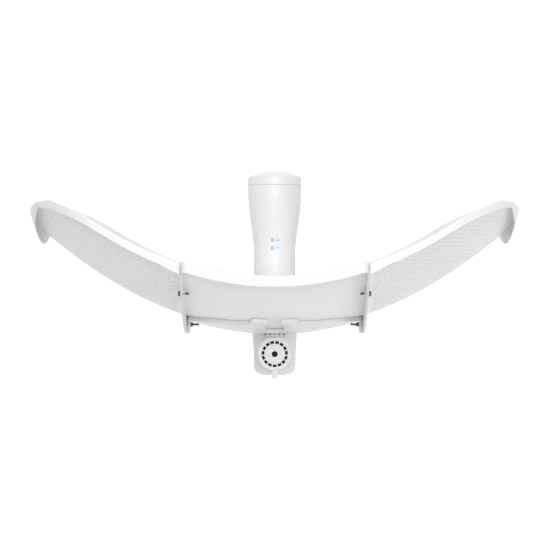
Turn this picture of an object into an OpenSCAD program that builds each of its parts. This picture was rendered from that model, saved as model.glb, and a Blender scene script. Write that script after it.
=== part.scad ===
/* [Reflector] */
// Focal length of the parabolic reflector
focal = 164; // [150:1:180]
// Half height of the centre panel
centre_half_h = 208; // [200:1:212]
// Half height of the wing panels
wing_half_h = 202.5; // [196:0.5:204]
// Half width of the assembled reflector, measured at its front edge
reflector_half_w = 288; // [280:1:292]
// Distance from the middle to the plane where a wing bolts to the centre panel
parting_x = 108; // [104:1:110]
// Thickness of the reflector sheet
sheet_t = 1.2; // [1:0.1:1.6]
// Depth of the centre panel's lip
lip_depth = 14; // [12:1:16]
// Depth of a wing's lip at its outer end, where it is deepest
end_lip_depth = 19.2; // [16:0.1:22]
// Angle by which a wing's lip turns in towards the middle as it runs back
lip_turn = 19; // [10:1:22]

/* [Feed] */
// Outer radius of the feed tube where it leaves the reflector
tube_r = 25.5; // [25:0.5:26]
// Outer radius of the flared feed head
head_r = 33; // [31:0.5:34]
// Distance from the reflector's vertex to the tip of the feed
feed_reach = 193.2; // [186:0.1:198]
// Wall thickness of the feed tube
tube_wall = 2.2; // [2:0.1:2.4]

/* [Rear housing] */
// Outer radius of the housing behind the reflector
housing_r = 25.8; // [25.6:0.1:26.2]
// Distance from the vertex to the housing's rear end
housing_reach = 56; // [55.5:0.5:57]
// Distance from the vertex back to the vertical swivel axis
swivel_back = 29.5; // [29:0.5:30]
// Thickness of the housing's reflector bracket
bracket_t = 4.6; // [3.5:0.1:5]

/* [Mount] */
// Radius of the pole that the clamp takes
pole_r = 19; // [18.5:0.25:19.5]
// Drop from the boresight to the elevation pivot
pivot_drop = 56; // [55:1:58]
// Drop from the boresight to the top end of the pole
pole_drop = 84; // [83:1:86]
// Length of the pole seat
seat_len = 90; // [88:1:96]

/* [Hidden] */

// The row's origin is on the pole's axis at the pole's top end. Parts are drawn about the vertex.
vertex_at = [0, swivel_back, pole_drop];
smooth = 96;
gap = 0.3;                      // clearance between faces that move past each other
running = 0.05;                 // radial clearance of a shaft in its bore

// Reflector
rim_r = 365;                    // radius that the parabola is drawn out to
rings = 26;                     // straight steps that stand for the parabola
corner_w = 84;                  // half axes of the quarter ellipses at the wings' corners
corner_h = 92;
fin_t = 1.7;                    // thickness of the bolting flange at a parting plane
fin_extra = 9;                // how much deeper that flange is at mid height
bolt_r = 1.5;
bolt_y = 6.1;                     // the middle bolt, behind the reflector at mid height
outer_bolt_y = 44;              // the upper and lower bolts
outer_bolt_z = 150;
tube_hole_r = 23.4;
lip_spread = 10;                // sideways shift that makes a wing's lip deeper towards its end
lip_growth = (2 * lip_spread * reflector_half_w - pow(lip_spread, 2)) / (4 * focal);
rivet_at = [[20, 60], [-20, 60], [20, -60], [-20, -60]];
rivet_r = 1.9;

// Rear housing
mouth_r = 27.6;                 // the housing's radius where it meets the reflector
housing_wall = 2.6;
sleeve_r = 13;
spigot_r = 11;
boss_r = 21;
boss_top = 26.1;
counterbore_r = 16.2;
counterbore_z = 21;
foot_r = 12.6;
foot_z = -26.2;
latch_half_w = 13.4;
latch_y = [-8.3, -1.7];
port_half_w = 8.2;
port_y = [-53.2, -42.9];
jack_z = [-17, 1];
reset_x = 12;
reset_y = -48;
hinge_x = -11.2;
hinge_z = -25.8;
hinge_pin_r = 0.85;

// Swivel and pole bracket
dial_r = 20.2;
dial_z = boss_top + gap;
dial_t = 3;
dial_slots = 15;
collar_r = 12.4;
tongue_half_w = 8;
pivot_bolt_r = 4;
ear_in = 9.2;
ear_out = 17.2;
saddle_r = 24.5;
block_top = -72;
band_w = 12.7;
band_t = 0.8;
band_z = [-118, -154];
worm_r = 3.2;

function para(x, z) = (x * x + z * z) / (4 * focal);
function mirrored(points) = concat(points, [for (i = [len(points) - 1 : -1 : 0]) [points[i][0], -points[i][1]]]);
// Rear edge of the bolting flange at the parting plane
function fin_rear(z) = para(parting_x, z) - lip_depth - fin_extra * (1 - pow(z / centre_half_h, 2));

// Turns a solid drawn about Z so that Z becomes the boresight, +Y
module on_boresight() {
    rotate([-90, 0, 0]) children();
}

// Extrudes an outline in X and Z along Y, from y0 to y1
module along_y(y0, y1) {
    translate([0, y1, 0]) rotate([90, 0, 0]) linear_extrude(height = y1 - y0) children();
}

// Extrudes an outline in Y and Z along X, from x0 to x1
module along_x(x0, x1) {
    translate([x0, 0, 0]) rotate([90, 0, 90]) linear_extrude(height = x1 - x0) children();
}

module box(x, y, z) {
    translate([x[0], y[0], z[0]]) cube([x[1] - x[0], y[1] - y[0], z[1] - z[0]]);
}

module shaft_x(r, x0, x1, y, z) {
    translate([x0, y, z]) rotate([0, 90, 0]) cylinder(r = r, h = x1 - x0, $fn = smooth);
}

module shaft_z(r, z0, z1, x = 0, y = 0) {
    translate([x, y, z0]) cylinder(r = r, h = z1 - z0, $fn = smooth);
}

module ring_z(r_in, r_out, z0, z1) {
    difference() {
        shaft_z(r_out, z0, z1);
        shaft_z(r_in, z0 - 1, z1 + 1);
    }
}

module ring_y(r_in, r_out, y0, y1) {
    translate([0, y0, 0]) on_boresight() difference() {
        cylinder(r = r_out, h = y1 - y0, $fn = smooth);
        translate([0, 0, -1]) cylinder(r = r_in, h = y1 - y0 + 2, $fn = smooth);
    }
}

module hex_x(across, x0, x1, y, z) {
    translate([x0, y, z]) rotate([0, 90, 0]) cylinder(r = across / sqrt(3), h = x1 - x0, $fn = 6);
}

// Everything behind the parabola, down to a plane behind the reflector
module dish_block(behind = 60) {
    on_boresight() rotate_extrude($fn = smooth) polygon(concat(
        [[0, -behind], [rim_r, -behind]],
        [for (i = [rings : -1 : 0]) let (r = rim_r * i / rings) [r, para(r, 0)]]
    ));
}

// A tray: a skin that follows the parabola and a wall round its outline. The wall's rear edge and
// the skin's rear face are the parabola too, moved by lip_shift and skin_shift.
module tray(lip_shift, skin_shift) {
    difference() {
        intersection() {
            children(0);
            dish_block();
        }
        translate(lip_shift) dish_block(90);
        intersection() {
            children(1);
            translate(skin_shift) dish_block(90);
        }
    }
}

function centre_outline(inset) = mirrored([
    [-parting_x + gap / 2 + inset, centre_half_h - 5 - inset],
    [-parting_x + gap / 2 + 5 + inset * 0.4, centre_half_h - inset],
    [parting_x - gap / 2 - 5 - inset * 0.4, centre_half_h - inset],
    [parting_x - gap / 2 - inset, centre_half_h - 5 - inset]
]);

// Front edge of the right wing in X and Z; it starts inside the parting plane, which trims it
function wing_edge(inset) = mirrored(concat(
    [[parting_x - 60, wing_half_h - inset]],
    [for (a = [90 : -7.5 : 0]) [
        reflector_half_w - corner_w + (corner_w - inset) * cos(a),
        wing_half_h - corner_h + (corner_h - inset) * sin(a)
    ]],
    [for (z = [80, 50, 20]) [reflector_half_w - inset, z]]
));

// The same edge seen along the lip's direction
function wing_outline(inset) = [for (p = wing_edge(inset))
    [p[0] * cos(lip_turn) - para(p[0], p[1]) * sin(lip_turn), p[1]]];

module wing_prism(inset) {
    rotate([0, 0, -lip_turn]) along_y(-200, 260) polygon(wing_outline(inset));
}

function fin_profile(half_h) = let (n = 16) concat(
    [for (i = [-n : n]) let (z = half_h * i / n) [para(parting_x, z) - 0.5, z]],
    [for (i = [n : -1 : -n]) let (z = half_h * i / n) [fin_rear(z), z]]
);

module fin(x0, x1, half_h) {
    along_x(x0, x1) polygon(fin_profile(half_h));
}

module fin_bolt_holes(x0, x1) {
    shaft_x(bolt_r + 0.15, x0, x1, bolt_y, 0);
    for (s = [-1, 1]) shaft_x(bolt_r + 0.15, x0, x1, outer_bolt_y, s * outer_bolt_z);
}

module centre_panel() {
    color("white") difference() {
        union() {
            tray([0, -lip_depth, 0], [0, -sheet_t, 0]) {
                along_y(-60, 200) polygon(centre_outline(0));
                along_y(-160, 200) polygon(centre_outline(fin_t));
            }
            for (s = [-1, 1])
                fin(s > 0 ? parting_x - gap / 2 - fin_t : gap / 2 - parting_x,
                    s > 0 ? parting_x - gap / 2 : gap / 2 - parting_x + fin_t, centre_half_h - 6);
        }
        translate([0, -20, 0]) on_boresight() cylinder(r = tube_hole_r, h = 40, $fn = smooth);
        for (p = rivet_at) translate([p[0], -20, p[1]]) on_boresight() cylinder(r = rivet_r + 0.1, h = 60, $fn = 24);
        fin_bolt_holes(-parting_x - 5, -parting_x + 5);
        fin_bolt_holes(parting_x - 5, parting_x + 5);
    }
}

module right_panel() {
    color("white") difference() {
        union() {
            intersection() {
                tray([lip_spread, -(end_lip_depth - lip_growth), 0], [0.5, -0.87, 0] * sheet_t) {
                    wing_prism(0);
                    wing_prism(sheet_t);
                }
                box([parting_x + gap / 2, 320], [-60, 250], [-230, 230]);
            }
            fin(parting_x + gap / 2, parting_x + gap / 2 + fin_t, wing_half_h - 3);
        }
        fin_bolt_holes(parting_x - 5, parting_x + 8);
    }
}

module left_panel() {
    mirror([1, 0, 0]) right_panel();
}

module panel_bolts() {
    head_x = parting_x + gap / 2 + fin_t;
    color("dimgray") for (s = [0, 1]) mirror([s, 0, 0]) {
        pan_bolt(head_x, parting_x - 15.5, bolt_y, 0);
        for (t = [-1, 1]) pan_bolt(head_x, parting_x - 8.5, outer_bolt_y, t * outer_bolt_z);
    }
}

module pan_bolt(head_x, tip_x, y, z) {
    shaft_x(bolt_r, tip_x, head_x + 0.5, y, z);
    shaft_x(3.6, head_x, head_x + 2.5, y, z);
}

module panel_nuts() {
    nut_x = parting_x - gap / 2 - fin_t - lug_t;
    color("dimgray") for (s = [0, 1]) mirror([s, 0, 0]) difference() {
        hex_x(5.5, nut_x - 3.2, nut_x, bolt_y, 0);
        shaft_x(bolt_r, nut_x - 5, nut_x + 1, bolt_y, 0);
    }
}

module clinch_nuts() {
    face_x = parting_x - gap / 2 - fin_t;
    color("white") for (s = [0, 1], t = [-1, 1]) mirror([s, 0, 0]) difference() {
        shaft_x(2.8, face_x - 1.4, face_x, outer_bolt_y, t * outer_bolt_z);
        shaft_x(bolt_r, face_x - 3, face_x + 1, outer_bolt_y, t * outer_bolt_z);
    }
}

// The bracket behind the centre panel, in X and Z: two ears above and below, and two tapering arms
bracket_side = [
    [10.5, 45], [10.5, 86], [7.9, 89], [7.9, 98], [27.5, 98], [30.5, 87], [44.5, 80], [60, 75],
    [74, 68], [87, 57], [parting_x - 6, 35], [parting_x - 2.2, 28]
];
lug_t = 3.3;                    // thickness of the lugs that the middle bolts pass through
bracket_right = mirrored(bracket_side);
bracket_outline = concat(bracket_right, [for (i = [len(bracket_right) - 1 : -1 : 0])
    [-bracket_right[i][0], bracket_right[i][1]]]);

module bracket_plate() {
    intersection() {
        along_y(-60, 60) polygon(bracket_outline);
        difference() {
            translate([0, -sheet_t - gap, 0]) dish_block();
            translate([0, -sheet_t - gap - bracket_t, 0]) dish_block(90);
        }
    }
}

module bracket_lugs() {
    lug_x = parting_x - gap / 2 - fin_t;
    for (s = [0, 1]) mirror([s, 0, 0]) difference() {
        union() {
            box([lug_x - lug_t, lug_x - 0.05], [bolt_y, 13], [-10.5, 10.5]);
            intersection() {
                shaft_x(10.5, lug_x - lug_t, lug_x - 0.05, bolt_y, 0);
                box([lug_x - 8, lug_x + 4], [-20, 13], [-20, 20]);
            }
        }
        shaft_x(bolt_r + 0.15, lug_x - 4, lug_x + 2, bolt_y, 0);
    }
}

housing_outer = [
    [0, -3], [mouth_r, -3], [mouth_r - 0.3, -8], [mouth_r - 1, -18], [housing_r + 0.1, -28], [housing_r, -36],
    [housing_r, 12 - housing_reach]
];
housing_end = [
    [housing_r - 0.3, 8.5 - housing_reach], [housing_r - 1.6, 5.2 - housing_reach],
    [housing_r - 4.3, 2.7 - housing_reach], [18, 1.2 - housing_reach], [14, 0.4 - housing_reach],
    [9, -housing_reach], [0, -housing_reach]
];

module housing_solid() {
    on_boresight() rotate_extrude($fn = smooth) polygon(concat(
        housing_outer,
        housing_end
    ));
    // the port's pad, where the round body runs on towards the rear
    intersection() {
        on_boresight() translate([0, 0, 1.6 - housing_reach]) cylinder(r = housing_r, h = 12, $fn = smooth);
        box([-13.2, 16.2], [-70, -30], [-40, -12]);
    }
}

module housing_cavity() {
    r = housing_r - housing_wall;
    on_boresight() rotate_extrude($fn = smooth) polygon(concat(
        [[0, 5], [r, 5], [r, 12 - housing_reach], [r - 0.3, 8.5 - housing_reach], [r - 1.4, 6 - housing_reach]],
        [[19.9, 3.8 - housing_reach], [18.9, 3.05 - housing_reach], [12, 2.6 - housing_reach]],
        [[0, 2.6 - housing_reach]]
    ));
}

module latch_prism(grow) {
    box([-latch_half_w - grow, latch_half_w + grow], [latch_y[0] - grow, latch_y[1] + grow], [15, 28.2]);
}

module rear_housing() {
    color("white") difference() {
        union() {
            bracket_plate();
            bracket_lugs();
            housing_solid();
            translate([0, -swivel_back, 0]) shaft_z(boss_r, 10, boss_top);
            translate([0, -swivel_back, 0]) shaft_z(foot_r, foot_z, -15);
            port_hinge_lugs();
        }
        difference() {
            housing_cavity();
            translate([0, -swivel_back, 0]) shaft_z(sleeve_r, -30, 30);
            translate([0, -swivel_back, 0]) shaft_z(counterbore_r + 2, counterbore_z - 2.5, 30);
            translate([0, -swivel_back, 0]) shaft_z(foot_r + 1, -30, -20);
        }
        translate([0, -swivel_back, 0]) {
            shaft_z(spigot_r + running, -40, 40);
            shaft_z(counterbore_r, counterbore_z, 40);
            shaft_z(dial_r + 0.4, boss_top, 40);
            shaft_z(foot_r + 0.8, -40, foot_z);
        }
        latch_prism(0.25);
        box([-port_half_w, port_half_w], port_y, [-40, jack_z[0] + 6]);
        shaft_z(2.2, -40, -10, reset_x, reset_y);
        for (p = rivet_at) translate([p[0], -30, p[1]]) on_boresight() cylinder(r = rivet_r + 0.05, h = 60, $fn = 24);
        hinge_bore();
        for (s = [0, 1]) mirror([s, 0, 0]) shaft_x(bolt_r + 0.3, parting_x - 20, parting_x - 4, bolt_y, 0);
    }
}

module hinge_bore() {
    translate([hinge_x, -60, hinge_z]) on_boresight() cylinder(r = hinge_pin_r + running, h = 25, $fn = 32);
}

module port_hinge_lugs() {
    for (y = [[-53.2, -51.2], [-45.4, -43.4]]) {
        box([hinge_x - 1.5, hinge_x + 1.5], y, [hinge_z, hinge_z + 4]);
        translate([hinge_x, y[0], hinge_z]) on_boresight() cylinder(r = 1.7, h = y[1] - y[0], $fn = 32);
    }
}

module bracket_rivets() {
    color("white") for (p = rivet_at) translate([p[0], para(p[0], p[1]), p[1]]) {
        translate([0, -5, 0]) on_boresight() cylinder(r = rivet_r, h = 6, $fn = 32);
        translate([0, 0.75, 0]) on_boresight() cylinder(r1 = 3.4, r2 = 2, h = 1.3, $fn = 32);
    }
}

// Feed
head_y = 170;
seam_y = 175.9;
shoulder_y = 2.6;
plug_r = 22.9;
plug_y = -11;
flare = [for (i = [0 : 8]) let (t = i / 8)
    [tube_r + (head_r - tube_r) * (3 * t * t - 2 * t * t * t), 90 + (head_y - 90) * t]];

module feed_tube() {
    color("white") difference() {
        on_boresight() rotate_extrude($fn = smooth) polygon(concat(
            [[plug_r - tube_wall, plug_y], [plug_r, plug_y], [plug_r, shoulder_y], [tube_r, shoulder_y]],
            flare,
            [[head_r, seam_y], [head_r - tube_wall, seam_y]],
            [for (i = [8 : -1 : 0]) [flare[i][0] - tube_wall, flare[i][1]]],
            [[tube_r - tube_wall, shoulder_y + 3], [plug_r - tube_wall, shoulder_y + 3]]
        ));
        for (y = led_y) box(led_x, [y - led_half, y + led_half], [20, 32]);
        box([-7.4, 7.4], [-6, -3.4], [15, 22.2]);
        box([-2.3, 2.3], [plug_y - 1, -3.4], [15, 30]);
    }
}

led_y = [99, 109];
led_x = [-4.2, -0.8];
led_half = 2.45;

module light_guides() {
    color("lightskyblue") for (y = led_y)
        intersection() {
            box([led_x[0] + 0.05, led_x[1] - 0.05], [y - led_half + 0.05, y + led_half - 0.05], [2, 32]);
            on_boresight() cylinder(r = tube_r + 0.05, h = 130, $fn = smooth);
        }
}

dome = [for (a = [0 : 15 : 90]) [head_r - 3 + 3 * cos(a), feed_reach - 8.5 + 3 * sin(a)]];

module feed_cap() {
    inner_r = head_r - tube_wall;
    color("white") on_boresight() rotate_extrude($fn = smooth) polygon(concat(
        [[inner_r - 1.6, seam_y - 5], [inner_r - 0.1, seam_y - 5], [inner_r - 0.1, seam_y + 0.15], [head_r, seam_y + 0.15]],
        dome,
        [[22, feed_reach - 2.4], [14, feed_reach - 0.8], [7, feed_reach], [0, feed_reach]],
        [[0, feed_reach - 2.4], [7, feed_reach - 2.4], [14, feed_reach - 3.2], [22, feed_reach - 4.8]],
        [[inner_r - 1.6, feed_reach - 8.4]]
    ));
}

module cap_seal() {
    color("dimgray") ring_y(head_r - tube_wall - 2.6, head_r - tube_wall - 1.65, seam_y - 4, seam_y - 2);
}

module tube_gasket() {
    color("gray") ring_y(tube_hole_r - 0.1, mouth_r - 1, 1.15, shoulder_y - 0.05);
}

module feed_latch() {
    color("white") difference() {
        union() {
            intersection() {
                latch_prism(0);
                translate([0, -20, 0]) on_boresight() difference() {
                    cylinder(r = mouth_r + 0.3, h = 30, $fn = smooth);
                    translate([0, 0, -1]) cylinder(r = mouth_r - 2, h = 32, $fn = smooth);
                }
            }
            box([-2, 2], [-5.6, -3.8], [19, 26]);
            box([-7, 7], [-5.6, -3.8], [18.8, 21.8]);
        }
        for (i = [-2 : 2]) box([i * 5.5 - 1.05, i * 5.5 + 1.05], [-6.4, -3.1], [i == 0 ? 24.5 : 22, 40]);
    }
}

module main_board() {
    color("darkgreen") difference() {
        box([-18.5, 18.5], [-10, 146], [-1.6, 0]);
        for (s = [-1, 1], y = [4, 120]) shaft_z(1.6, -5, 5, s * 15, y);
    }
}

module shield_cans() {
    color("silver") {
        box([-13, 13], [18, 48], [0.05, 4.5]);
        box([-11, 11], [56, 84], [0.05, 3.8]);
    }
}

module feed_radiator() {
    color("goldenrod") {
        translate([0, 146.1, 0]) on_boresight() cylinder(r = 20, h = 1.6, $fn = 64);
        for (a = [0, 90, 180, 270]) rotate([0, a, 0]) {
            box([8, 9.2], [147.6, 160], [-2.5, 2.5]);
            box([5, 22], [160, 161.2], [-4, 4]);
        }
    }
}

module splash_plate() {
    color("silver") union() {
        translate([0, 171, 0]) on_boresight() cylinder(r = 27, h = 1.2, $fn = smooth);
        translate([0, 161.3, 0]) on_boresight() cylinder(r = 3, h = 9.9, $fn = 48);
    }
}

module link_flex() {
    color("peru") box([15.2, 15.6], [-46, -8], [0.1, 6]);
}

module port_board() {
    color("darkgreen") box([-14.8, 14.8], [-52.8, -43], [1.1, 2.7]);
}

module ethernet_jack() {
    color("silver") difference() {
        box([-7.9, 7.9], [port_y[0] + 0.3, port_y[1] - 0.3], [jack_z[0], jack_z[1]]);
        box([-5.9, 5.9], [-52.2, -44.1], [jack_z[0] - 1, jack_z[1] - 4]);
        box([-3, 3], [-44.2, -43.7], [jack_z[0] - 1, jack_z[1] - 6]);
    }
}

module reset_button() {
    color("dimgray") {
        shaft_z(1.9, -22, -19.6, reset_x, reset_y);
        shaft_z(1.1, -20, 0, reset_x, reset_y);
    }
}

module port_cover() {
    color("white") difference() {
        union() {
            intersection() {
                translate([0, -53.4, 0]) on_boresight() difference() {
                    cylinder(r = 27.8, h = 10, $fn = smooth);
                    translate([0, 0, -1]) cylinder(r = 26.2, h = 12, $fn = smooth);
                }
                box([hinge_x + 1.9, 15.5], [-53.4, -43.4], [-40, 0]);
            }
            box([hinge_x, hinge_x + 2.6], [-51, -45.6], [hinge_z - 1.6, hinge_z + 0.4]);
            translate([hinge_x, -51, hinge_z]) on_boresight() cylinder(r = 1.6, h = 5.4, $fn = 32);
        }
        translate([0, -55, 0]) hinge_pin_hole();
        shaft_z(3.3, -40, -10, 15.5, -48.4);
    }
}

module hinge_pin_hole() {
    translate([hinge_x, 0, hinge_z]) on_boresight() cylinder(r = hinge_pin_r + running, h = 14, $fn = 32);
}

module port_hinge_pin() {
    color("silver") translate([hinge_x, -53, hinge_z]) on_boresight() cylinder(r = hinge_pin_r, h = 9.4, $fn = 32);
}

// Swivel: parts on the vertical axis, which the azimuth joint turns about
module on_swivel() {
    translate([0, -swivel_back, 0]) children();
}

module swivel_column() {
    color("lightgray") on_swivel() difference() {
        union() {
            shaft_z(spigot_r, -28, counterbore_z + 0.2);
            shaft_z(collar_r, -34, foot_z - 1.4);
            box([-tongue_half_w, tongue_half_w], [-12, 12], [-pivot_drop, -33]);
            shaft_x(12, -tongue_half_w, tongue_half_w, 0, -pivot_drop);
        }
        shaft_x(pivot_bolt_r + running, -20, 20, 0, -pivot_drop);
        shaft_z(2.5, -10, 40);
        translate([0, 0, 6]) rotate_extrude($fn = smooth) translate([spigot_r, 0]) square([3, 2.4], center = true);
    }
}

module swivel_seal() {
    color("dimgray") on_swivel() ring_z(spigot_r - 1.45, spigot_r - 0.05, 4.9, 7.1);
}

module swivel_washer() {
    color("ivory") on_swivel() ring_z(spigot_r + 0.1, collar_r, foot_z - 1.35, foot_z - 0.15);
}

module retaining_washer() {
    color("silver") on_swivel() ring_z(3.2, counterbore_r - 0.5, counterbore_z + 0.25, counterbore_z + 2.2);
}

module swivel_bolt() {
    color("black") on_swivel() difference() {
        union() {
            shaft_z(2.45, -8, counterbore_z + 3);
            shaft_z(5, counterbore_z + 2.25, counterbore_z + 5.3);
        }
        translate([0, 0, counterbore_z + 3.4]) cylinder(r = 2.3, h = 5, $fn = 6);
    }
}

module azimuth_dial() {
    color("white") on_swivel() difference() {
        union() {
            shaft_z(dial_r, dial_z, dial_z + dial_t);
            ring_z(10.2, 12.2, counterbore_z + 2.25, dial_z + 1);
            box([-3.6, 3.6], [-30, -dial_r + 2], [dial_z, dial_z + 2.2]);
        }
        shaft_z(3.65, dial_z - 1, dial_z + 10);
        shaft_z(9, dial_z - 1, dial_z + 0.6);
        ring_z(12.4, 16.2, dial_z + dial_t - 0.5, dial_z + dial_t + 1);
        for (i = [0 : dial_slots - 1]) rotate([0, 0, 270 + 360 * i / dial_slots])
            box([12.7, 15.9], [-2.2, 2.2], [dial_z - 1, dial_z + 10]);
    }
}

// Pole bracket: a clevis for the elevation bolt above a half-round seat for the pole
module seat_wall() {
    difference() {
        union() {
            shaft_z(saddle_r, -pole_drop - seat_len, block_top);
            box([-saddle_r, saddle_r], [-2, 2], [-pole_drop - seat_len, block_top]);
        }
        shaft_z(pole_r, -pole_drop - seat_len - 1, -pole_drop);
        box([-30, 30], [-40, -2], [-pole_drop - seat_len - 1, -pole_drop]);
        for (z = band_z) ring_z(saddle_r - 1.4, saddle_r + 5, z - band_w / 2 - 0.3, z + band_w / 2 + 0.3);
    }
}

module pole_bracket() {
    color("white") on_swivel() difference() {
        union() {
            seat_wall();
            for (s = [0, 1]) mirror([s, 0, 0]) {
                box([ear_in, ear_out], [-12, 12], [block_top - 1, -pivot_drop]);
                shaft_x(12, ear_in, ear_out, 0, -pivot_drop);
            }
        }
        shaft_x(pivot_bolt_r + running, -30, 30, 0, -pivot_drop);
        hex_x(13.4, ear_out - 3, ear_out + 5, 0, -pivot_drop);
    }
}

module elevation_bolt() {
    color("silver") on_swivel() {
        shaft_x(pivot_bolt_r, -ear_out - 1, ear_out + 6.5, 0, -pivot_drop);
        hex_x(13, -ear_out - 5.3, -ear_out, 0, -pivot_drop);
    }
}

module elevation_nut() {
    color("silver") on_swivel() difference() {
        hex_x(13, ear_out - 2.9, ear_out + 3.6, 0, -pivot_drop);
        shaft_x(pivot_bolt_r, 0, 40, 0, -pivot_drop);
    }
}

module elevation_washers() {
    color("ivory") on_swivel() for (s = [0, 1]) mirror([s, 0, 0]) difference() {
        shaft_x(11, tongue_half_w + 0.15, ear_in - 0.05, 0, -pivot_drop);
        shaft_x(pivot_bolt_r + 0.1, 0, 20, 0, -pivot_drop);
    }
}

// Closed line of a band that passes over the seat in front and round the pole behind
function band_loop(out) = concat(
    [for (a = [0 : 6 : 180]) let (r = saddle_r - 1.4 + out) [r * cos(a), r * sin(a)]],
    [[1.4 - saddle_r - out, -3 - out * 0.4]],
    [for (a = [200 : 7 : 340]) let (r = pole_r + gap + out) [r * cos(a), r * sin(a)]],
    [[saddle_r - 1.4 + out, -3 - out * 0.4]]
);

module clamp_bands() {
    color("silver") on_swivel() for (z = band_z) translate([0, 0, z - band_w / 2])
        linear_extrude(height = band_w) difference() {
            polygon(band_loop(0.1 + band_t));
            polygon(band_loop(0.1));
        }
}

worm_y = saddle_r - 1.4 + 1 + worm_r + 0.9;

module clamp_housings() {
    color("silver") on_swivel() for (z = band_z) difference() {
        union() {
            box([-8, 8], [saddle_r - 1.4 + 0.95, worm_y], [z - 6.4, z + 6.4]);
            box([-8, 8], [saddle_r + 0.1, worm_y + worm_r + 1.2], [z - 7.2, z + 7.2]);
        }
        shaft_x(worm_r + running, -10, 10, worm_y, z);
    }
}

module clamp_screw(z) {
    color("gray") on_swivel() difference() {
        union() {
            shaft_x(worm_r, -11, 9, worm_y, z);
            hex_x(8, 9, 14, worm_y, z);
        }
        box([12.4, 15], [worm_y - 0.6, worm_y + 0.6], [z - 6, z + 6]);
    }
}

module upper_clamp_screw() { clamp_screw(band_z[0]); }

module lower_clamp_screw() { clamp_screw(band_z[1]); }

translate(vertex_at) {
    centre_panel();
    left_panel();
    right_panel();
    panel_bolts();
    panel_nuts();
    clinch_nuts();
    rear_housing();
    bracket_rivets();
    feed_tube();
    feed_cap();
    cap_seal();
    tube_gasket();
    feed_latch();
    main_board();
    shield_cans();
    feed_radiator();
    splash_plate();
    light_guides();
    link_flex();
    port_board();
    ethernet_jack();
    reset_button();
    port_cover();
    port_hinge_pin();
    swivel_column();
    swivel_washer();
    swivel_seal();
    retaining_washer();
    swivel_bolt();
    azimuth_dial();
    pole_bracket();
    elevation_bolt();
    elevation_nut();
    elevation_washers();
    clamp_bands();
    clamp_housings();
    upper_clamp_screw();
    lower_clamp_screw();
}
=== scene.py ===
"""Outdoor wireless bridge: every visible piece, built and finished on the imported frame.

All lengths are metres. The reflector's vertex is the point that the panels, the feed and the rear
housing are drawn about: X runs across the wings, +Y is the way the feed points and +Z is up.
"""

import logging
import math
import sys
from dataclasses import dataclass, field
from enum import Enum
from typing import Callable, Iterable, Sequence

import bmesh
import bpy
from mathutils import Matrix, Vector

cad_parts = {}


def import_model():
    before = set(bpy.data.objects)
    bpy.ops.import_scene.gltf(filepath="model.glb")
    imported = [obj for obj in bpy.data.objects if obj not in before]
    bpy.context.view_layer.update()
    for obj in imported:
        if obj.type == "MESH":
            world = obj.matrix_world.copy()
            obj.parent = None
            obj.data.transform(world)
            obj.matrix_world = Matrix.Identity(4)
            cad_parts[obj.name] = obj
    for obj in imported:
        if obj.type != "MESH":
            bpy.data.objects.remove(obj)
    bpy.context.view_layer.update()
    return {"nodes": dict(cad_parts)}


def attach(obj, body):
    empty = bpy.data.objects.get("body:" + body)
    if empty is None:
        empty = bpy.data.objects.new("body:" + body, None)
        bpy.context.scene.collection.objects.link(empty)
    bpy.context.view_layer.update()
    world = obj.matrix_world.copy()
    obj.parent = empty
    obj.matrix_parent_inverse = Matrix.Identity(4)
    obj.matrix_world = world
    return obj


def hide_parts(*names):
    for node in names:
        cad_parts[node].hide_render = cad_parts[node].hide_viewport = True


log = logging.getLogger("wireless_bridge")

MM = 0.001
VERTEX = Vector((0.0, 0.0295, 0.084))
FOCAL = 0.164
CENTRE_HALF_HEIGHT = 0.208
PARTING_X = 0.108
PARTING_GAP = 0.00015
FLANGE = 0.0017
BOLT_Y = 0.0061
OUTER_BOLT = (0.044, 0.150)


class Body(str, Enum):
    """The rigid bodies that pieces ride on."""

    ANTENNA = "antenna"
    SWIVEL = "swivel"
    MOUNT = "pole_mount"
    UPPER_SCREW = "upper_screw"
    LOWER_SCREW = "lower_screw"
    LATCH = "latch"
    RESET = "reset"
    COVER = "cover"


class Side(Enum):
    """Which side of the middle a mirrored piece is on."""

    LEFT = -1
    RIGHT = 1


def para(x: float, z: float) -> float:
    """Return the reflector's depth forward of its vertex at x, z."""
    return (x * x + z * z) / (4.0 * FOCAL)


# ---------------------------------------------------------------------------------------------
# Shared effects
# ---------------------------------------------------------------------------------------------


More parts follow.
